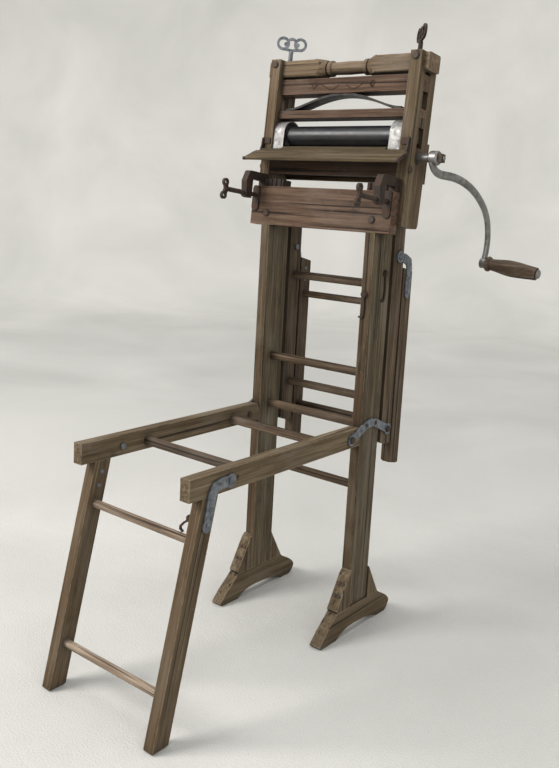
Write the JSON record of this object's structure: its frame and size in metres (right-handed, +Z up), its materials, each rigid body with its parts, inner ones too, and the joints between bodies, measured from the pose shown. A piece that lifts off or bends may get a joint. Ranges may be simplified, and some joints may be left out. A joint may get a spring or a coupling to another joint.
{
  "type": "mangle",
  "caption": "Hand-cranked roller wringer clamped on a folding wooden wash bench, one wing lowered on its leg frame and the other folded up behind.",
  "frame": {"origin": "on the floor, under the centre of the bounding box", "axes": "+Z up; +X along the rollers towards the crank; -Y towards the lowered wing"},
  "size_m": [0.5882, 0.9618, 1.3251],
  "materials": {
    "bare_steel": "worn bare steel",
    "black_rubber": "polished hard black rubber",
    "dark_iron": "dark stained iron",
    "dowel_wood": "worn tan hardwood",
    "galvanised_casting": "dull galvanised",
    "galvanised_sheet": "stained galvanised sheet",
    "grey_rubber": "dull aged grey-green rubber",
    "grip_wood": "hand-polished dark brown hardwood",
    "reddish_wood": "weathered reddish-brown hardwood",
    "rusty_iron": "dark rusty",
    "weathered_wood": "weathered grey-brown softwood"
  },
  "bodies": {
    "stand": {"post_right": "weathered_wood", "post_left": "weathered_wood", "crossboard": "reddish_wood", "post_rungs": "dowel_wood", "shoes": "weathered_wood", "foot_gussets": "weathered_wood", "hinge_plates": "galvanised_casting", "bench_screws": "dark_iron", "wing_pivot_bolts": "dark_iron", "hook_eyes": "rusty_iron", "cheek_right": "weathered_wood", "cheek_left": "weathered_wood", "top_bar": "reddish_wood", "screw_nut_plates": "dark_iron", "lower_bearings": "weathered_wood", "roller_guards": "galvanised_sheet", "apron_brackets": "rusty_iron", "front_rail": "weathered_wood", "rear_board": "weathered_wood", "frame_bolts": "dark_iron", "clamp_castings": "rusty_iron"},
    "front_wing": {"front_wing_rails": "weathered_wood", "front_wing_rungs": "dowel_wood", "front_knee_bolts": "dark_iron"},
    "front_leg_frame": {"front_legs": "weathered_wood", "front_leg_rungs": "dowel_wood", "front_knee_brackets": "galvanised_casting", "front_knee_rivets": "dark_iron", "leg_hook_staple": "rusty_iron"},
    "back_wing": {"back_wing_rails": "weathered_wood", "back_wing_rungs": "dowel_wood", "back_knee_bolts": "dark_iron"},
    "back_leg_frame": {"back_legs": "weathered_wood", "back_leg_rungs": "dowel_wood", "back_knee_brackets": "galvanised_casting", "back_knee_rivets": "dark_iron"},
    "leg_hook_body": {"leg_hook": "rusty_iron"},
    "side_hook_body": {"side_hook": "rusty_iron"},
    "front_hook_body": {"front_hook": "rusty_iron"},
    "pressure_beam": {"pressure_board": "reddish_wood"},
    "left_screw": {"thumb_screw_left": "galvanised_casting"},
    "right_screw": {"thumb_screw_right": "rusty_iron"},
    "roller_carriage": {"lower_spring_board": "weathered_wood", "upper_bearings": "weathered_wood", "guide_pins": "dark_iron", "bow_spring": "rusty_iron"},
    "upper_roller": {"upper_roller_rubber": "black_rubber", "upper_roller_shaft": "bare_steel"},
    "crank": {"lower_roller_rubber": "grey_rubber", "lower_roller_shaft": "bare_steel", "crank_arm": "bare_steel", "crank_nut": "dark_iron", "grip_spindle": "bare_steel"},
    "grip": {"crank_grip": "grip_wood"},
    "apron": {"apron_board": "weathered_wood", "apron_end_irons": "rusty_iron"},
    "right_pad": {"clamp_pad_right": "rusty_iron"},
    "left_pad": {"clamp_pad_left": "rusty_iron"},
    "right_clamp_screw": {"clamp_screw_right": "rusty_iron"},
    "left_clamp_screw": {"clamp_screw_left": "rusty_iron"}
  },
  "joints": [
    {"name": "front_wing_fold", "type": "hinge", "parent": "stand", "child": "front_wing", "pos_m": [-0.08537, 0.07621, 0.455], "axis": [1, 0, 0], "range_deg": [-90, 0]},
    {"name": "front_leg_fold", "type": "hinge", "parent": "front_wing", "child": "front_leg_frame", "pos_m": [-0.08537, -0.31179, 0.455], "axis": [1, 0, 0], "range_deg": [0, 103.2]},
    {"name": "back_wing_fold", "type": "hinge", "parent": "stand", "child": "back_wing", "pos_m": [-0.08537, 0.22021, 0.455], "axis": [1, 0, 0], "range_deg": [-90, 0]},
    {"name": "back_leg_fold", "type": "hinge", "parent": "back_wing", "child": "back_leg_frame", "pos_m": [-0.08537, 0.22021, 0.843], "axis": [1, 0, 0], "range_deg": [0, 103.2]},
    {"name": "leg_hook_swing", "type": "hinge", "parent": "front_leg_frame", "child": "leg_hook_body", "pos_m": [0.03683, -0.37734, 0.39231], "axis": [0, 1, 0], "range_deg": [0, 60]},
    {"name": "side_hook_swing", "type": "hinge", "parent": "stand", "child": "side_hook_body", "pos_m": [0.07013, 0.16421, 0.808], "axis": [1, 0, 0], "range_deg": [-80, 85]},
    {"name": "front_hook_swing", "type": "hinge", "parent": "stand", "child": "front_hook_body", "pos_m": [0.05333, 0.10991, 0.764], "axis": [0, 1, 0], "range_deg": [-60, 60]},
    {"name": "pressure_slide", "type": "slide", "parent": "stand", "child": "pressure_beam", "axis": [0, 0.0915, 0.9958], "range_m": [0, 0.005]},
    {"name": "left_screw_turn", "type": "hinge", "parent": "pressure_beam", "child": "left_screw", "pos_m": [-0.25607, 0.20413, 1.22197], "axis": [0, 0.0915, 0.9958], "range_deg": [0, 285]},
    {"name": "right_screw_turn", "type": "hinge", "parent": "pressure_beam", "child": "right_screw", "pos_m": [0.08533, 0.20413, 1.22197], "axis": [0, 0.0915, 0.9958], "range_deg": [0, 285]},
    {"name": "roller_lift", "type": "slide", "parent": "stand", "child": "roller_carriage", "axis": [0, 0.0915, 0.9958], "range_m": [0, 0.008], "stiffness_N_per_m": 5000, "deforming": ["bow_spring"]},
    {"name": "upper_roller_spin", "type": "hinge", "parent": "roller_carriage", "child": "upper_roller", "pos_m": [-0.08537, 0.19273, 1.09787], "axis": [1, 0, 0], "continuous": true},
    {"name": "crank_turn", "type": "hinge", "parent": "stand", "child": "crank", "pos_m": [-0.08537, 0.18863, 1.0533], "axis": [1, 0, 0], "continuous": true},
    {"name": "grip_spin", "type": "hinge", "parent": "crank", "child": "grip", "pos_m": [0.16303, 0.45839, 0.83069], "axis": [0.9945, -0.0096, -0.1041], "continuous": true},
    {"name": "apron_tilt", "type": "hinge", "parent": "stand", "child": "apron", "pos_m": [-0.08537, 0.14678, 1.06257], "axis": [1, 0, 0], "range_deg": [-75, 0]},
    {"name": "right_pad_slide", "type": "slide", "parent": "stand", "child": "right_pad", "axis": [0, -0.9958, 0.0915], "range_m": [0, 0.006]},
    {"name": "left_pad_slide", "type": "slide", "parent": "stand", "child": "left_pad", "axis": [0, -0.9958, 0.0915], "range_m": [0, 0.006]},
    {"name": "right_clamp_turn", "type": "hinge", "parent": "right_pad", "child": "right_clamp_screw", "pos_m": [0.09033, 0.10777, 0.96039], "axis": [0, -0.9958, 0.0915], "range_deg": [0, 541]},
    {"name": "left_clamp_turn", "type": "hinge", "parent": "left_pad", "child": "left_clamp_screw", "pos_m": [-0.26107, 0.10777, 0.96039], "axis": [0, -0.9958, 0.0915], "range_deg": [0, 541]}
  ],
  "couplings": [
    {"joint": "front_leg_fold", "follows": "front_wing_fold", "ratio": -1.1467},
    {"joint": "back_leg_fold", "follows": "back_wing_fold", "ratio": -1.1467},
    {"joint": "left_screw_turn", "follows": "pressure_slide", "rad_per_m": 989.48},
    {"joint": "right_screw_turn", "follows": "pressure_slide", "rad_per_m": 989.48},
    {"joint": "right_clamp_turn", "follows": "right_pad_slide", "rad_per_m": 1570.8},
    {"joint": "left_clamp_turn", "follows": "left_pad_slide", "rad_per_m": 1570.8},
    {"joint": "upper_roller_spin", "follows": "crank_turn", "ratio": -1}
  ]
}
